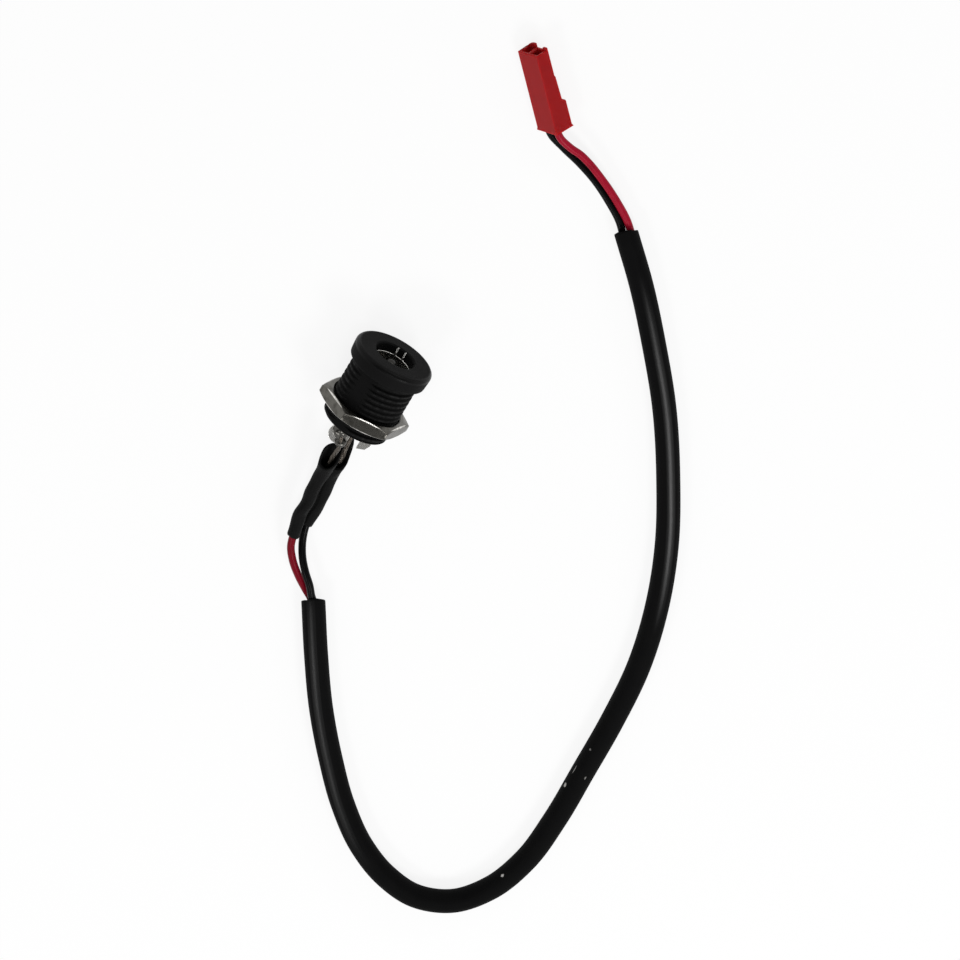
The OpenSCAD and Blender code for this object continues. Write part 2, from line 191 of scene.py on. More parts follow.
# %% Jacket of the cable
JACKET_R = 2.0
BORE_R = 1.45
jacket_points = [
    (-10.5, 39.5), (-15.5, 48), (-20.8, 56.3), (-26.6, 63.9), (-32.5, 70.6), (-38.9, 76), (-44.9, 79), (-51, 80),
    (-56.8, 78), (-61.2, 73), (-63.9, 65.6), (-64.7, 56.5), (-64.6, 46.5), (-64.4, 36), (-63.5, 25), (-61, 14),
    (-57, 3), (-51.4, -8), (-44.8, -19), (-37.5, -28.9), (-30.8, -37.2), (-24, -44.6)
]
jacket_line = smooth_line([(x, y, JACKET_R) for x, y in jacket_points])
jacket_long = lengths(jacket_line)[-1]


def hollow_rows(long, outer, bore, first, last, step):
    """Rows of a hollow tube with a soft lip: outside forwards, then the bore backwards."""
    near, far = first, long - last
    body = np.arange(first.max() + 0.8, long - last.max() - 0.8, step)
    rows = [(near + 0.02, outer - 0.14), (near + 0.08, outer - 0.04), (near + 0.25, outer)]
    rows += [(s, outer) for s in body]
    rows += [(far - 0.25, outer), (far - 0.08, outer - 0.04), (far - 0.02, outer - 0.14)]
    rows += [(far, bore + 0.15), (far - 0.15, bore)]
    rows += [(s, bore) for s in body[::-4]]
    return rows + [(near + 0.15, bore), (near, bore + 0.15)]


JACKET_SIDES = 40
ROW_STEP = 0.5
SLANT, FIRST_REACH, LAST_REACH = 1.05, 1.5, 1.3
aslant = SLANT * (1 - np.sin(side_angles(JACKET_SIDES)))
jacket_rows = hollow_rows(
    jacket_long, JACKET_R, BORE_R, aslant - FIRST_REACH + ragged(JACKET_SIDES, 0.3, 3),
    aslant - LAST_REACH + ragged(JACKET_SIDES, 0.25, 8), ROW_STEP
)
rows, skin = around(jacket_line, jacket_rows, JACKET_SIDES)
jacket = make_piece("jacket_tube", rows, wrapped(rows, closed=True), skin)
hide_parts("cable_jacket")
print("jacket is", round(jacket_long, 1), "mm long with", len(jacket.data.polygons), "faces")

# %% [markdown]
# The two insulated wires run whole from the solder to the connector. Inside the jacket they wind about each
# other: the black one goes in over the red one, and they come out side by side. Their lines there are the
# jacket's line, moved out by a gap at an angle that grows along it. The rows stand close together only where a
# wire shows.

# %% Red and black wires
WIRE_R = 0.65
WIRE_GAP = 0.74
WIRE_SIDES = 20
WIND_STEP = 4.0
HIDDEN = (32, 222)
red_out = [
    (0, 15.75, 5.5), (0, 18.5, 4.9), (-0.4, 22, 4.4), (-0.6, 25.5, 3.9), (-1.5, 29.5, 3.4), (-2.2, 31.7, 3.1),
    (-3.6, 33.8, 2.8), (-5.9, 36.2, 2.2), (-8.5, 38.4, 1.4)
]
black_out = [
    (-1.99, 14.445, 3.742), (-1.8, 17.1, 3.1), (-2.5, 20.5, 2.5), (-2.8, 23.5, 2), (-2.8, 27.2, 1.7),
    (-3.6, 30.2, 1.9), (-5.2, 33.2, 2.5), (-6.6, 34.9, 2.9), (-8.4, 36.8, 3), (-9.7, 38.5, 2.9)
]
red_in = [
    (-22.8, -46.9, 2.1), (-20.3, -48.75, 2.2), (-18.1, -50.2, 2.3), (-15.3, -51.8, 2.4), (-12.6, -53.2, 2.6),
    (-10.6, -54, 2.8), (-8.4, -54.5, 3.1), (-5.299, -56.041, 3.708), (-4.38, -57.097, 3.708),
    (-2.806, -58.908, 3.708)
]
black_in = [
    (-22, -45.9, 1.9), (-18.7, -48.3, 1.8), (-15.2, -50.4, 1.7), (-11.1, -52.2, 1.7), (-7.7, -53.4, 1.8),
    (-4.198, -55.084, 2.06), (-3.28, -56.141, 2.06), (-1.705, -57.952, 2.06)
]


def wire_line(first, last, turns):
    """A wire's line: out of the socket, round the jacket's line between two angles, and on to the connector."""
    along = np.arange(0, jacket_long, WIND_STEP)
    middle, across, upward = stations(jacket_line, along)
    wind = np.radians(np.interp(along, [0, jacket_long], turns))[:, None]
    return smooth_line([*first, *(middle + WIRE_GAP * (np.cos(wind) * across + np.sin(wind) * upward)), *last])


def wire_piece(name, line, hidden):
    """A round wire with soft ends, its rows far apart over the hidden stretch of its length."""
    long = lengths(line)[-1]
    shown = np.concatenate([np.arange(0.3, hidden[0], 0.4), np.arange(hidden[0], hidden[1], 2.5),
                            np.arange(hidden[1], long - 0.3, 0.4)])
    ends = [(0.0, 0.75), (0.03, 0.92), (0.1, 1.0)]
    rows = [(s, WIRE_R * r) for s, r in ends] + [(s, WIRE_R) for s in shown]
    rows += [(long - s, WIRE_R * r) for s, r in reversed(ends)]
    points, skin = around(line, rows, WIRE_SIDES)
    return make_piece(name, points, wrapped(points, closed=False), skin)


red_line = wire_line(red_out, red_in, (-65, 360))
black_line = wire_line(black_out, black_in, (105, 540))
red_wire = wire_piece("red_lead_wire", red_line, HIDDEN)
black_wire = wire_piece("black_lead_wire", black_line, HIDDEN)
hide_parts("red_wire")
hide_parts("black_wire")
print("wires are", [round(lengths(line)[-1], 1) for line in (red_line, black_line)], "mm long")

# %% [markdown]
# Each soldered joint once sat under a piece of heat-shrink sleeve. The sleeves have slipped down the wires, and their
# torn mouths stand wider than the rest. A mouth is open towards the top and has one long tongue, so each side of its
# first rows starts at its own length, and that fades out over the next rows. Shallow wrinkles change the radius.

# %% Heat-shrink sleeves
SLEEVE_SIDES = 36
SLEEVE_R, SLEEVE_BORE = 1.1, 0.7
WRINKLE = 0.022
red_bare = [(1.7, 6.5, 8.7), (0.7, 9, 8.7), (0.4, 11.6, 7.2), (0, 15.6, 5.53)]
black_bare = [(-1.2, 7.3, 4.377), (-1.3, 9.6, 4.377), (-1.7, 12.5, 4.177), (-2, 14.3, 3.777)]


def sleeve_piece(name, points, lean, cut, tongue, seed):
    """A sleeve along a line. Its mouth leans open to one side and is cut back on average, at the top and at the
    level side. Its tongue has an angle, a half width and a reach."""
    line = smooth_line(points)
    long = lengths(line)[-1]
    turn = side_angles(SLEEVE_SIDES)
    off_tongue = (turn - tongue[0] + math.pi) % (2 * math.pi) - math.pi
    torn = np.exp(-(off_tongue / tongue[1]) ** 4)
    mouth = cut[0] + cut[1] * np.sin(turn) + cut[2] * np.cos(turn) + ragged(SLEEVE_SIDES, 0.3, seed) - tongue[2] * torn
    draw = np.random.default_rng(seed + 1)
    bumps = [(draw.uniform(0.5, 1.6), draw.integers(1, 4), draw.uniform(0, 6.28)) for n in range(7)]

    def flare(s):
        return (0.42 + lean * np.cos(turn)) * np.exp(-(s / 4.8) ** 2) + 0.25 * torn * np.exp(-(s / 1.5) ** 2)

    def wrinkle(s):
        return WRINKLE * sum(np.sin(f * s + n * turn + p) for f, n, p in bumps)

    body = np.linspace(0, long - 0.2, 46)
    at = [s + mouth * (1 - s / long) ** 3 for s in body]
    rows = [(at[0], 0.78 + flare(0)), (at[0] + 0.04, 0.98 + flare(0)), (at[0] + 0.2, 1.06 + flare(0))]
    rows += [(s, SLEEVE_R + flare(b) + wrinkle(b)) for s, b in zip(at[1:], body[1:])]
    tail = long + ragged(SLEEVE_SIDES, 0.25, seed + 2)
    rows += [(tail - 0.06, 1.02), (tail, 0.92), (tail - 0.02, 0.76), (tail - 0.3, SLEEVE_BORE)]
    rows += [(s, SLEEVE_BORE + flare(b)) for s, b in zip(at[::-3], body[::-3]) if b > 0]
    points, skin = around(line, rows, SLEEVE_SIDES)
    return make_piece(name, points, wrapped(points, closed=True), skin)


red_sleeve = sleeve_piece(
    "red_wire_sleeve", red_bare[2:] + red_out[1:5], 0.3, (1.1, 0.9, 0.8), (-0.85, 0.75, 1.9), 21
)
black_mouth = [(-1.2, 11.7, 4.25), (-1.5, 14.3, 3.78)]
black_sleeve = sleeve_piece(
    "black_wire_sleeve", black_mouth + black_out[1:5], -0.1, (1.3, 1.1, 0.1), (-1.75, 1.05, 3.1), 34
)
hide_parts("red_sleeve")
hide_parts("black_sleeve")
print("sleeves have", len(red_sleeve.data.polygons), "faces each")

# %% [markdown]
# Between the solder and the insulation, the copper strands of each wire lie bare. A bundle is a few fine tubes
# that wind round one line, so the twist is real and catches the light. All tubes of a bundle are one mesh.

# %% Bare strands
STRANDS, STRAND_ROWS, STRAND_SIDES = 10, 34, 8
STRAND_R, BUNDLE_R, TWIST = 0.12, 0.26, 0.95


def strand_bundle(name, points, seed):
    """Strands round a middle one, twisted and slightly uneven."""
    line = smooth_line(points)
    along = np.linspace(0, lengths(line)[-1], STRAND_ROWS)
    middle, across, upward = stations(line, along)
    draw = np.random.default_rng(seed)
    corners, faces, skins = [], [], []
    for k in range(STRANDS):
        out = 0.0 if k == 0 else BUNDLE_R
        wind = 2 * math.pi * k / (STRANDS - 1) + along * TWIST + draw.uniform(-0.2, 0.2)
        spread = out * (1 + 0.12 * np.sin(along * draw.uniform(0.6, 1.4) + draw.uniform(0, 6)))
        own = middle + spread[:, None] * (np.cos(wind)[:, None] * across + np.sin(wind)[:, None] * upward)
        tube, skin = around(
            own, [(s, STRAND_R) for s in np.linspace(0, lengths(own)[-1], STRAND_ROWS)], STRAND_SIDES
        )
        faces += [tuple(v + len(corners) for v in face) for face in wrapped(tube, closed=False)]
        corners += tube.reshape(-1, 3).tolist()
        skins += skin.reshape(-1, 3).tolist()
    return make_piece(name, corners, faces, skins)


red_strands = strand_bundle("red_wire_strands", red_bare, 5)
black_strands = strand_bundle("black_wire_strands", black_bare, 6)
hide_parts("red_strands")
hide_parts("black_strands")
print("strands have", len(red_strands.data.polygons), "faces each")

# %% [markdown]
# The socket's body is turned round one axis, like a part from a lathe: a countersunk mouth, a matt flange with a
# rounded front edge, a threaded barrel and a hollow rear. A screw modifier could sweep the thread, but then the
# two flats would need a Boolean. Here the radius is a function of depth and angle, so the helix, its run-out at
# both ends and the flats are one minimum of a few numbers.

# %% Socket body
THREAD_R, ROOT_R, FLAT_R = 5.9, 5.5, 5.45
PITCH = 1.0
FLATS_LEAN = math.radians(36)
BODY_SIDES = 240
body_turn = np.arange(BODY_SIDES) * 2 * math.pi / BODY_SIDES


def turned(rows, turn):
    """Points round the socket's axis. A row is a depth behind the face and a radius."""
    depth = np.array([np.broadcast_to(d, len(turn)) for d, r in rows])
    radius = np.array([np.broadcast_to(r, len(turn)) for d, r in rows])
    return np.stack([radius * np.sin(turn), FACE_Y + depth, AXIS_Z + radius * np.cos(turn)], axis=-1)


def ease(x):
    x = np.clip(x, 0, 1)
    return x * x * (3 - 2 * x)


def barrel_radius(depth):
    """The barrel's outline at a depth: a helix with a flat crest, cut by two flats."""
    phase = (depth / PITCH - body_turn / (2 * math.pi)) % 1
    ridge = ease(np.minimum(phase - 0.15, 1.0 - phase) / 0.3)
    radius = ROOT_R + (THREAD_R - ROOT_R) * ridge
    radius = THREAD_R + (radius - THREAD_R) * ease((depth - 3.5) / 0.4)
    radius = np.minimum(radius, THREAD_R - 0.7 * (depth - 13.9))
    return np.minimum(radius, FLAT_R / np.maximum(np.abs(np.cos(body_turn - FLATS_LEAN)), 0.1))


body_rows = [(d, 3.5) for d in (9.3, 6.0, 3.0, 1.0, 0.34)] + [(0.25, 3.51), (0.06, 3.69), (0.01, 3.76), (0, 3.82)]
body_rows += [(0, r) for r in (3.95, 4.5, 5.1, 5.7, 6.1)]
body_rows += [(0.8 - 0.8 * math.cos(a), 6.2 + 0.8 * math.sin(a)) for a in np.radians(np.arange(0, 91, 7.5))]
body_rows += [(1.2, 6.98), (1.9, 6.93), (2.6, 6.87), (2.8, 6.83), (2.92, 6.75), (2.985, 6.66), (3, 6.58), (3, 6.3)]
body_rows += [(3, barrel_radius(3.0) + 0.12), (3.03, barrel_radius(3.0) + 0.03)]
body_rows += [(d, barrel_radius(d)) for d in np.arange(3.1, 14.3, 0.065)]
body_rows += [(14.36, barrel_radius(14.3) - 0.06), (14.4, barrel_radius(14.3) - 0.16), (14.4, 4.75), (14.36, 4.64)]
body_rows += [(d, 4.6) for d in (14.25, 12.0, 9.3)]
rows = turned(body_rows, body_turn)
socket_body = make_piece("socket_body", rows, wrapped(rows, closed=True))
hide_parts("jack_body")


def flat_and_round(piece):
    """Lets large flat faces set the shading, so that only the edges look round."""
    normals = piece.modifiers.new("shading", "WEIGHTED_NORMAL")
    normals.weight = 80
    return piece


flat_and_round(socket_body)
print("socket body has", len(socket_body.data.polygons), "faces")

# %% [markdown]
# The nut is a plated hexagon whose corners are turned off on both faces, which leaves the curved edge that every
# machined nut has. For each angle, the hexagon gives a radius and the cone gives the depth at which it begins, so
# the curve comes out by itself. A narrow turned edge runs along the hexagon, where the light catches, and a bevel
# takes the sharpness off the rest.

# %% Hex nut
NUT_FRONT, NUT_BACK = 9.9, 12.2
NUT_FLAT_R, NUT_FACE_R, NUT_HOLE_R, NUT_EDGE = 7.0, 6.72, 5.95, 0.16
NUT_SLOPE = 0.42
NUT_SIDES = 144


def round_edges(shape, radius, angle, segments=2):
    """Rounds the edges of a mesh, in millimetres, that are sharper than an angle in degrees."""
    sharp = [
        edge for edge in shape.edges
        if edge.is_manifold and edge.calc_face_angle() > math.radians(angle) and edge.calc_length() > radius
    ]
    bmesh.ops.bevel(
        shape, geom=sharp, offset=radius, offset_type="OFFSET", segments=segments, profile=0.5, affect="EDGES",
        clamp_overlap=False
    )


def reworked(piece, work):
    """Runs some mesh work on a piece in millimetres."""
    shape = bmesh.new()
    shape.from_mesh(piece.data)
    bmesh.ops.scale(shape, vec=(1 / MM,) * 3, verts=shape.verts)
    work(shape)
    bmesh.ops.scale(shape, vec=(MM,) * 3, verts=shape.verts)
    shape.to_mesh(piece.data)
    shape.free()
    piece.data.shade_smooth()
    return piece


nut_turn = np.arange(NUT_SIDES) * 2 * math.pi / NUT_SIDES
hexagon = NUT_FLAT_R / np.cos((nut_turn + math.pi / 6) % (math.pi / 3) - math.pi / 6)
corner_cut = (hexagon - NUT_EDGE - NUT_FACE_R) * NUT_SLOPE
nut_rows = [
    (NUT_FRONT + 0.3, NUT_HOLE_R), (NUT_FRONT, NUT_HOLE_R + 0.25), (NUT_FRONT, NUT_FACE_R),
    (NUT_FRONT + corner_cut, hexagon - NUT_EDGE), (NUT_FRONT + corner_cut + NUT_EDGE, hexagon),
    (NUT_BACK - corner_cut - NUT_EDGE, hexagon), (NUT_BACK - corner_cut, hexagon - NUT_EDGE), (NUT_BACK, NUT_FACE_R),
    (NUT_BACK, NUT_HOLE_R + 0.25), (NUT_BACK - 0.3, NUT_HOLE_R)
]
rows = turned(nut_rows, nut_turn)
nut = make_piece("plated_nut", rows, wrapped(rows, closed=True))
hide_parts("hex_nut")
flat_and_round(reworked(nut, lambda shape: round_edges(shape, 0.045, 20)))
print("nut has", len(nut.data.polygons), "faces")

# %% [markdown]
# The solder on the two lugs froze as small lumpy mounds. A mound starts as rings from its top to its foot, and a
# noise that is fixed in space pushes each point a little, so it looks poured and not turned.

# %% Solder
def mound(middle, foot, rise, seed, sides=32):
    """Rows of a lumpy mound on a level sheet, or under it where the rise is negative."""
    turn = np.arange(sides) * 2 * math.pi / sides
    rows = [
        [(foot * math.sin(a) * math.cos(t), foot * math.sin(a) * math.sin(t), rise * math.cos(a)) for t in turn]
        for a in np.radians([4, 14, 25, 36, 47, 58, 68, 77, 84, 90])
    ]
    rows.append([(0.9 * x, 0.9 * y, 0.0) for x, y, z in rows[-1]])
    lumps = [[1 + 0.16 * noise.noise(Vector(p) * 1.3 + Vector((seed, 0, 0))) for p in row] for row in rows]
    return np.array(rows) * np.array(lumps)[..., None] + np.array(middle)


def solder_piece(name, mounds):
    corners, faces = [], []
    for rows in mounds:
        faces += [tuple(v + len(corners) for v in face) for face in wrapped(rows, closed=False)]
        corners += rows.reshape(-1, 3).tolist()
    return make_piece(name, corners, faces)


red_solder = solder_piece("centre_lug_solder", [
    mound((1.7, 6.8, 8.3), 1.3, 0.95, 2), mound((0.8, 8.5, 8.3), 0.95, 0.9, 4), mound((1.7, 7.3, 8.0), 0.8, -0.3, 9)
])
black_solder = solder_piece("shell_lug_solder", [mound((-1.2, 7.9, 3.977), 0.95, 0.9, 5)])
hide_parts("red_solder")
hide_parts("black_solder")
print("solder has", len(red_solder.data.polygons) + len(black_solder.data.polygons), "faces")

# %% [markdown]
# The stamped contacts, the core and the red housing have the right shape already, but a real edge is never
# perfectly sharp. A copy of each solid gets its flat faces made whole again and then a small bevel: moulded
# plastic takes a larger radius than stamped sheet. A bevel modifier on the solid itself would stumble over the
# triangles that its faces are cut into.

# %% Contacts, core and connector with softened edges
def softened(node, radius, segments=2):
    """A copy of a solid with rounded edges, which stands for it."""
    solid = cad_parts[node]
    piece = bpy.data.objects.new(node + "_soft", solid.data.copy())
    bpy.context.collection.objects.link(piece)
    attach(piece, "root")
    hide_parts(node)

    def work(shape):
        bmesh.ops.remove_doubles(shape, verts=shape.verts, dist=0.002)
        bmesh.ops.dissolve_limit(shape, angle_limit=math.radians(1), verts=shape.verts, edges=shape.edges)
        round_edges(shape, radius, 25, segments)

    return flat_and_round(reworked(piece, work))


contacts = [
    softened(node, radius)
    for node, radius in {"centre_pin": 0.04, "centre_lug": 0.05, "shell_contact": 0.11, "switch_contact": 0.05}.items()
]
core = softened("insulating_core", 0.06)
housing = softened("connector_housing", 0.12, 3)
red_terminal = softened("red_terminal", 0.05)
black_terminal = softened("black_terminal", 0.05)
for piece in (*contacts, core, housing, red_terminal, black_terminal):
    print(piece.name, len(piece.data.polygons), "faces")

# %% [markdown]
# For the three cords, their first points and their lines are worked out in metres. The jacket ends bare at both
# mouths, and the wires go on to their terminals in the housing.

tuple(jacket_line[0] * MM)
(jacket_line * MM).tolist()
tuple(red_line[0] * MM)
(red_line * MM).tolist()
tuple(black_line[0] * MM)
(black_line * MM).tolist()

# %% [markdown]
# Finishes are node trees, and drawing them in code gets long fast. This class wraps one socket of a tree, so that
# sums and products of sockets read as plain arithmetic. Its one method adds any other node: the settings come
# first, because they decide which sockets a node has.

# %% Shader arithmetic
class Flow:
    """A value that flows through a shader tree."""

    def __init__(self, tree, socket=None):
        self.tree = tree
        self.socket = socket

    def node(self, kind, settings=None, sockets=None, out=0):
        made = self.tree.nodes.new(kind)
        for name, value in (settings or {}).items():
            setattr(made, name, value)
        for name, value in (sockets or {}).items():
            socket = self.find(made.inputs, name)
            if isinstance(value, Flow):
                self.tree.links.new(value.socket, socket)
            else:
                socket.default_value = value
        return Flow(self.tree, self.find(made.outputs, out))

    @staticmethod
    def find(sockets, name):
        if isinstance(name, int):
            return sockets[name]
        return next((s for s in sockets if s.identifier == name), None) or sockets[name]

    def math(self, operation, first, second):
        return self.node("ShaderNodeMath", {"operation": operation}, {0: first, 1: second})

    def __add__(self, other):
        return self.math("ADD", self, other)

    def __radd__(self, other):
        return self.math("ADD", other, self)

    def __sub__(self, other):
        return self.math("SUBTRACT", self, other)

    def __rsub__(self, other):
        return self.math("SUBTRACT", other, self)

    def __mul__(self, other):
        return self.math("MULTIPLY", self, other)

    def __rmul__(self, other):
        return self.math("MULTIPLY", other, self)

    def __truediv__(self, other):
        return self.math("DIVIDE", self, other)

    def __rtruediv__(self, other):
        return self.math("DIVIDE", other, self)

    def __pow__(self, other):
        return self.math("POWER", self, other)


# %% Small tools for finishes
finishes = {}


def new_finish(slot, **constants):
    """A material for a slot with its constant sockets set. Gives its first flow and its shader node."""
    material = bpy.data.materials.new(slot + "_finish")
    material.use_nodes = True
    shader = material.node_tree.nodes["Principled BSDF"]
    for name, value in constants.items():
        shader.inputs[name.replace("_", " ")].default_value = value
    finishes[slot] = material
    return Flow(material.node_tree), shader


def feed(shader, **flows):
    """Links flows to a shader's sockets."""
    for name, flow in flows.items():
        flow.tree.links.new(flow.socket, shader.inputs[name.replace("_", " ")])


def in_mm(flow):
    """The point's place in the part, in millimetres."""
    place = flow.node("ShaderNodeTexCoord", out="Object")
    return flow.node("ShaderNodeVectorMath", {"operation": "SCALE"}, {0: place, "Scale": 1 / MM})


def on_skin(flow, radius):
    """The point's place on a cord that is pulled straight, in millimetres: across, up and along."""
    skin = flow.node("ShaderNodeAttribute", {"attribute_name": "skin"}, out="Vector")
    return flow.node("ShaderNodeVectorMath", {"operation": "MULTIPLY"}, {0: skin, 1: (radius, radius, 1.0)})


def stretched(place, x, y, z):
    return place.node("ShaderNodeVectorMath", {"operation": "MULTIPLY"}, {0: place, 1: (x, y, z)})


def grain(place, scale, detail=3.0, rough=0.55):
    return place.node("ShaderNodeTexNoise", None, {
        "Vector": place, "Scale": scale, "Detail": detail, "Roughness": rough
    })


def step(flow, low, high):
    """A soft step from 0 at low to 1 at high."""
    return flow.node("ShaderNodeMapRange", {"interpolation_type": "SMOOTHSTEP"}, {
        "Value": flow, "From Min": low, "From Max": high
    })


def blend(factor, first, second):
    """A colour between two others."""
    return factor.node("ShaderNodeMix", {"data_type": "RGBA"}, {
        "Factor_Float": factor, "A_Color": first if isinstance(first, Flow) else (*first, 1.0),
        "B_Color": second if isinstance(second, Flow) else (*second, 1.0)
    }, "Result_Color")


def relief(height, depth, strength=1.0):
    """A bump of some depth in millimetres."""
    return height.node("ShaderNodeBump", None, {
        "Height": height, "Distance": depth * MM, "Strength": strength
    })


# %% [markdown]
# The jacket is soft black plastic with a low sheen. Its colour hardly varies, so the interest is in the surface:
# fine lines along the draw of the extruder, a soft grain, two smooth stretches where hands have rubbed one side, and
# a few pale scuffs on the stretch that lies at the front. A thin coat makes a stretch smooth. Each scuff is an
# ellipse on the straightened jacket, broken up by noise.

# %% Jacket finish
flow, shader = new_finish("jacket", Specular_IOR_Level=0.04, Coat_Roughness=0.36)
place = on_skin(flow, JACKET_R)
skin = flow.node("ShaderNodeAttribute", {"attribute_name": "skin"}, out="Vector")
parts = flow.node("ShaderNodeSeparateXYZ", None, {0: skin}, "X")
side_x, side_y = parts, Flow(flow.tree, parts.socket.node.outputs["Y"])
along = Flow(flow.tree, parts.socket.node.outputs["Z"])
drawn = grain(stretched(place, 3.0, 3.0, 0.06), 2.2, 2.0)
soft = grain(place, 0.35, 2.0)
fine = grain(place, 9.0, 2.0)

# The smoother side, and where hands have rubbed it: along the jacket, half length, weight
SMOOTH_SIDE = math.radians(76)
RUBBED = [(22, 30, 0.34), (162, 34, 0.55)]

# Along the jacket, angle from its level side in degrees, half length, half width, paleness
SCUFFS = [
    (104.4, 128, 0.22, 0.22, 0.4), (99.7, 147, 0.9, 0.16, 0.6), (96.4, 152, 0.42, 0.3, 1.0), (99.5, 78, 0.34, 0.2, 0.4),
    (76.2, 130, 0.34, 0.26, 1.0), (77.6, 126, 0.8, 0.12, 0.5)
]


def scuff(at, angle, half_long, half_wide, pale):
    """One pale mark, an ellipse on the straightened jacket."""
    facing = side_x * math.cos(math.radians(angle)) + side_y * math.sin(math.radians(angle))
    across = (2.0 - 2.0 * facing) * (JACKET_R / half_wide) ** 2
    return (1.0 - step(((along - at) / half_long) ** 2.0 + across + 0.8 * torn, 0.5, 1.5)) * pale


torn = grain(place, 4.0, 3.0) - 0.5
worn = scuff(*SCUFFS[0])
for mark in SCUFFS[1:]:
    worn = flow.math("MAXIMUM", worn, scuff(*mark))
black = blend(soft, (0.0016, 0.0016, 0.0018), (0.0036, 0.0036, 0.0036))
smooth_side = step(side_x * math.cos(SMOOTH_SIDE) + side_y * math.sin(SMOOTH_SIDE), 0.91, 0.985)
rubbed = sum(weight * (1.0 - step(((along - at) / reach) ** 2.0, 0.05, 1.0)) for at, reach, weight in RUBBED)
feed(
    shader, Base_Color=blend(worn, black, (0.42, 0.41, 0.39)), Roughness=0.56 + 0.08 * soft + 0.08 * drawn + 0.2 * worn,
    Coat_Weight=smooth_side * rubbed * (0.6 + 0.8 * drawn), Normal=relief(drawn * 0.7 + fine * 0.3, 0.012, 0.5)
)
print("jacket finish has", len(flow.tree.nodes), "nodes")

# %% [markdown]
# The wires' insulation is a harder and smoother plastic than the jacket. It shows faint lines along its length, and
# both wires are darker near the socket: partly painted shade from the socket, partly wear from handling.

# %% Wire finishes
RED_NEAR, RED_FAR = (0.160, 0.0016, 0.0095), (0.33, 0.0065, 0.024)
BLACK_NEAR, BLACK_FAR = (0.0016, 0.0016, 0.0018), (0.0026, 0.0026, 0.0028)
WIRE_GLOSS = 0.07


def wire_finish(slot, near, far):
    flow, shader = new_finish(slot, Specular_IOR_Level=WIRE_GLOSS)
    place = on_skin(flow, WIRE_R)
    along = flow.node("ShaderNodeSeparateXYZ", None, {0: place}, "Z")
    drawn = grain(stretched(place, 4.0, 4.0, 0.08), 2.0, 2.0)
    wear_and_shade_noise = grain(place, 0.5, 3.0)
    # Painted shade: the colour darkens towards the socket end, partly as shade from the socket and partly as handling
    # wear.
    colour = blend(step(along + 14.0 * wear_and_shade_noise, 40.0, 210.0), near, far)
    colour = blend(step(wear_and_shade_noise, 0.5, 0.8) * 0.3, colour, tuple(0.55 * c for c in near))
    feed(shader, Base_Color=colour, Roughness=0.22 + 0.14 * drawn, Normal=relief(drawn, 0.01, 0.5))
    print(slot, "finish has", len(flow.tree.nodes), "nodes")


wire_finish("red_insulation", RED_NEAR, RED_FAR)
wire_finish("black_insulation", BLACK_NEAR, BLACK_FAR)

# %% [markdown]
# Shrunk sleeve is duller than the wires: matt black with tiny wrinkles across it, where it drew together as it
# was heated, and a faint bloom on the raised spots.

# %% Sleeve finish
flow, shader = new_finish("sleeve", Specular_IOR_Level=0.06)
place = on_skin(flow, SLEEVE_R)
wrinkles = grain(stretched(place, 0.6, 0.6, 1.6), 1.6, 3.0)
fine = grain(place, 7.0, 2.0)
feed(
    shader, Base_Color=blend(wrinkles, (0.0022, 0.0022, 0.0024), (0.0056, 0.0055, 0.0054)),
    Roughness=0.46 + 0.2 * wrinkles, Normal=relief(wrinkles * 0.8 + fine * 0.2, 0.09, 0.8)
)
print("sleeve finish has", len(flow.tree.nodes), "nodes")

# %% [markdown]
# The socket's body and its core are moulded black plastic. A spark-eroded mould leaves a fine even grain, which
# makes the flange matt. Hands have polished its front edge. Where the nut has run over the thread, the crests are
# polished too and a little paler. The distance from the axis serves as the mask for both.

# %% Moulded black finishes
def from_axis(place):
    """The distance from the socket's axis, in millimetres."""
    x = place.node("ShaderNodeSeparateXYZ", None, {0: place}, "X")
    z = Flow(place.tree, x.socket.node.outputs["Z"]) - AXIS_Z
    return (x * x + z * z) ** 0.5


def moulded_black(slot, dark, pale):
    flow, shader = new_finish(slot, Specular_IOR_Level=0.08)
    place = in_mm(flow)
    cloud = grain(place, 0.6, 3.0)
    spark = grain(place, 11.0, 3.0, 0.7)
    y = flow.node("ShaderNodeSeparateXYZ", None, {0: place}, "Y")
    crest = step(from_axis(place), 5.72, 5.9) * step(y, FACE_Y + 3.2, FACE_Y + 4.0)
    rubbed = crest * step(grain(place, 1.4, 4.0), 0.4, 0.65)
    rim = step(from_axis(place), 6.2, 6.6) * (1.0 - step(y, FACE_Y + 0.6, FACE_Y + 1.2))
    colour = blend(rubbed * 0.55, blend(cloud, dark, pale), (0.013, 0.013, 0.013))
    feed(
        shader, Base_Color=colour, Roughness=0.66 + 0.14 * cloud - 0.2 * rubbed - 0.4 * rim,
        Normal=relief(spark, 0.02, 0.5)
    )
    print(slot, "finish has", len(flow.tree.nodes), "nodes")


moulded_black("body_plastic", (0.0028, 0.0028, 0.0030), (0.0052, 0.0051, 0.0050))
moulded_black("core_plastic", (0.003, 0.003, 0.0032), (0.005, 0.005, 0.005))
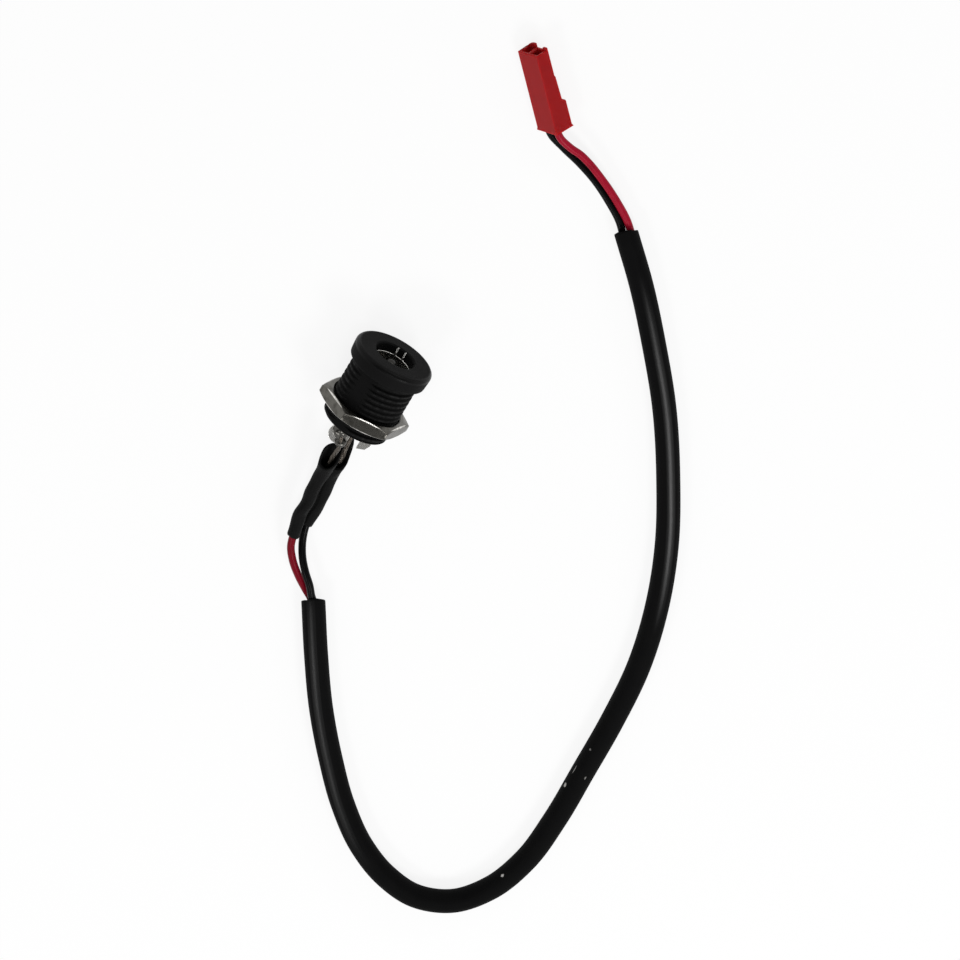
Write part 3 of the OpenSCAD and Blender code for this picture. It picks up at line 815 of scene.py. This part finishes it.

# %% [markdown]
# The metals share one recipe: a metallic shader whose roughness drifts, with fine lines from turning or rolling
# and a thin tarnish. The nut is dull plating with lines round its axis and bright edges, whose colour is partly bare
# worn plating and partly a painted highlight. The contacts are bright sheet except for the pin, which is painted dark
# as shade at the bottom of the socket's mouth. The solder is smooth with frosted patches, and it and the strands are
# darker than bare metal: partly dull metal, partly painted shade behind the nut.

# %% Metal finishes
def metal(slot, bright, dull, rough, lines, depth, mark=None):
    """A metal: lines is how a place is stretched before the fine lines are drawn. A mark is a mask and a colour."""
    flow, shader = new_finish(slot, Metallic=1.0)
    place = in_mm(flow)
    cloud = grain(place, 0.9, 4.0)
    brushed = grain(lines(place), 1.0, 3.0)
    tarnish = step(cloud, 0.42, 0.72)
    colour = blend(tarnish * 0.8 + 0.2 * brushed, bright, dull)
    if mark:
        colour = blend(mark[0](place), colour, mark[1])
    feed(
        shader, Base_Color=colour,
        Roughness=rough[0] + (rough[1] - rough[0]) * (0.55 * cloud + 0.45 * brushed),
        Normal=relief(brushed, depth, 0.5)
    )
    print(slot, "finish has", len(flow.tree.nodes), "nodes")


def round_the_axis(place):
    y = place.node("ShaderNodeSeparateXYZ", None, {0: place}, "Y")
    return place.node("ShaderNodeCombineXYZ", None, {0: from_axis(place) * 12.0, 1: y * 12.0, 2: 0.0})


def along_the_sheet(place):
    return stretched(place, 14.0, 1.2, 14.0)


def nut_edge_wear_and_highlight(place):
    """1 on the nut's turned edges: far out on the hexagon, and near its two faces. Their bright colour is partly worn
    plating and partly a painted highlight.
    """
    x = place.node("ShaderNodeSeparateXYZ", None, {0: place}, "X")
    y, z = (Flow(place.tree, x.socket.node.outputs[name]) for name in "YZ")
    up, side, half = z - AXIS_Z, x * math.cos(math.pi / 6), (z - AXIS_Z) * 0.5
    out = place.math("MAXIMUM", place.math("MAXIMUM", (up * up) ** 0.5, ((side + half) ** 2.0) ** 0.5),
                     ((side - half) ** 2.0) ** 0.5)
    middle = FACE_Y + (NUT_FRONT + NUT_BACK) / 2
    # Noise that breaks up the bright edges, which are partly wear and partly a painted highlight.
    worn = 0.5 + 0.5 * step(grain(place, 1.8, 3.0), 0.35, 0.6)
    return step(out, 6.76, 6.84) * step(((y - middle) ** 2.0) ** 0.5, 0.85, 0.95) * worn


# Painted shade: the pin, deep in the socket's mouth, gets a near-black colour.
def pin_painted_dark(place):
    return 1.0 - step(from_axis(place), 1.1, 1.25)


# The nut's edges get a bright colour: partly bare worn plating, partly a painted highlight along the edges.
metal(
    "nut_plating", (0.125, 0.12, 0.108), (0.058, 0.055, 0.048), (0.2, 0.36), round_the_axis, 0.008,
    (nut_edge_wear_and_highlight, (0.80, 0.78, 0.74))
)
# The pin's near-black colour is painted shade at the bottom of the socket's mouth.
metal(
    "contact_plating", (0.72, 0.71, 0.68), (0.42, 0.41, 0.38), (0.16, 0.36), along_the_sheet, 0.006,
    (pin_painted_dark, (0.035, 0.034, 0.032))
)
# Painted shade: the solder and the strands are much darker than bare tin and copper, partly dull metal and partly shade
# behind the nut and in the sleeve mouths.
metal("solder", (0.10, 0.097, 0.09), (0.045, 0.042, 0.038), (0.2, 0.42), lambda place: stretched(place, 4, 4, 4), 0.03)
metal("strands", (0.11, 0.097, 0.084), (0.05, 0.041, 0.033), (0.26, 0.46), along_the_sheet, 0.01)
metal("terminal_metal", (0.72, 0.62, 0.42), (0.52, 0.43, 0.28), (0.22, 0.42), along_the_sheet, 0.006)

# %% [markdown]
# The connector's red plastic lets a little light through. Subsurface scattering carries it a short way inside, red
# furthest, so thin walls and the insides of the two ways glow. Its wide faces show shallow sink marks and the finest
# of scratches.

# %% Red housing finish
flow, shader = new_finish(
    "red_plastic", Specular_IOR_Level=0.08, Subsurface_Weight=0.8, Subsurface_Radius=(1.0, 0.2, 0.16),
    Subsurface_Scale=1.5 * MM
)
place = in_mm(flow)
cloud = grain(place, 0.35, 3.0)
spark = grain(place, 9.0, 3.0, 0.65)
scratch = step(grain(place, 2.2, 6.0, 0.7), 0.62, 0.70)
red = blend(cloud, (0.29, 0.0065, 0.0085), (0.35, 0.0105, 0.0115))
feed(
    shader, Base_Color=blend(scratch * 0.18, red, (0.42, 0.05, 0.05)),
    Roughness=0.36 + 0.12 * cloud + 0.1 * scratch, Normal=relief(spark * 0.4 + cloud * 0.6, 0.03, 0.5)
)
print("red housing finish has", len(flow.tree.nodes), "nodes")

# %% Give every piece its finish
slot_pieces = {
    "jacket": [jacket], "red_insulation": [red_wire], "black_insulation": [black_wire],
    "sleeve": [red_sleeve, black_sleeve], "strands": [red_strands, black_strands],
    "body_plastic": [socket_body], "core_plastic": [core], "nut_plating": [nut], "contact_plating": contacts,
    "solder": [red_solder, black_solder], "red_plastic": [housing],
    "terminal_metal": [red_terminal, black_terminal]
}
for slot, pieces in slot_pieces.items():
    for piece in pieces:
        piece.data.materials.clear()
        piece.data.materials.append(finishes[slot])
print("finishes:", ", ".join(finishes))

# %% [markdown]
# The table is plain white. To the camera, and in reflections, it is mostly a white glow, so it stays white to the
# edges of the picture, and the rest of it is a matt surface that keeps a soft shadow. The room does the same. Its
# white walls show in the metal, and its ceiling is dim, so the tops of the black pieces stay black.

# %% Table and room
def seen(flow):
    """1 for rays from the camera, and 1 for rays from gloss and through clear things."""
    path = flow.node("ShaderNodeLightPath").socket.node
    camera, gloss, clear = (
        Flow(flow.tree, path.outputs[name]) for name in ("Is Camera Ray", "Is Glossy Ray", "Is Transmission Ray")
    )
    return camera, flow.math("MAXIMUM", gloss, clear)


TABLE_HALF, TABLE_DROP, TABLE_GLOW = 3.0, 0.00002, 0.86
mesh = bpy.data.meshes.new("table_top")
corners = [(-TABLE_HALF, -TABLE_HALF), (TABLE_HALF, -TABLE_HALF), (TABLE_HALF, TABLE_HALF), (-TABLE_HALF, TABLE_HALF)]
mesh.from_pydata([(x, y, -TABLE_DROP) for x, y in corners], [], [(0, 1, 2, 3)])
table = bpy.data.objects.new("table_top", mesh)
bpy.context.collection.objects.link(table)
material = bpy.data.materials.new("table_white")
material.use_nodes = True
material.node_tree.nodes.remove(material.node_tree.nodes["Principled BSDF"])
flow = Flow(material.node_tree)
matt = flow.node("ShaderNodeBsdfDiffuse", None, {"Color": (0.9, 0.9, 0.9, 1.0)})
glow = flow.node("ShaderNodeEmission", None, {"Color": (1.0, 1.0, 1.0, 1.0), "Strength": 1.0})
camera_ray, mirror_ray = seen(flow)
shown = flow.math("MAXIMUM", camera_ray, mirror_ray) * TABLE_GLOW
mixed = flow.node("ShaderNodeMixShader", None, {0: shown, 1: matt, 2: glow})
flow.tree.links.new(mixed.socket, flow.tree.nodes["Material Output"].inputs["Surface"])
mesh.materials.append(material)

room = bpy.data.worlds.new("room")
room.use_nodes = True
bpy.context.scene.world = room
flow = Flow(room.node_tree)
ROOM_LIGHT, CEILING = 0.44, 0.05
camera_ray, mirror_ray = seen(flow)
height = flow.node("ShaderNodeSeparateXYZ", None, {0: flow.node("ShaderNodeTexCoord", out="Generated")}, "Z")
mirrored = 1.0 - (1.0 - CEILING) * step(height, 0.3, 0.8)
strength = ROOM_LIGHT + (1.0 - ROOM_LIGHT) * camera_ray + (mirrored - ROOM_LIGHT) * mirror_ray
flow.tree.links.new(strength.socket, room.node_tree.nodes["Background"].inputs["Strength"])
room.node_tree.nodes["Background"].inputs["Color"].default_value = (1.0, 1.0, 1.0, 1.0)
print("table is", 2 * TABLE_HALF, "m wide, room light", ROOM_LIGHT)

# %% [markdown]
# Soft studio light: a tube that lies on a table mirrors only what stands across from the camera, so the two main
# boxes stand there. The left one draws the bright line along the jacket's first stretch, and the right one along its
# last. A small one overhead and a low one before the socket's mouth put a glint on the edges. The white room gives
# the rest.

# %% Lamps
PART_MIDDLE = Vector((-0.025, 0.005, 0.0))
LAMP_AWAY = 0.8


def soft_box(name, direction, size, watts):
    """An area lamp that looks at the middle of the part."""
    light = bpy.data.lights.new(name, "AREA")
    light.shape = "RECTANGLE"
    light.size, light.size_y = size
    light.energy = watts
    lamp = bpy.data.objects.new(name, light)
    bpy.context.collection.objects.link(lamp)
    back = Vector(direction).normalized()
    lamp.location = PART_MIDDLE + back * LAMP_AWAY
    lamp.rotation_mode = "QUATERNION"
    lamp.rotation_quaternion = back.to_track_quat("Z", "Y")


soft_box("left_box", (0.16, 0.62, 0.76), (0.3, 0.15), 1.5)
soft_box("right_box", (-0.57, 0.25, 0.78), (0.26, 0.22), 2.4)
soft_box("top_box", (0.03, -0.06, 1.0), (0.2, 0.2), 0.6)
soft_box("low_box", (-0.2, -0.88, 0.42), (0.4, 0.1), 0.6)
bpy.context.scene.view_settings.view_transform = "Standard"
print("lamps: left_box, right_box, top_box, low_box")
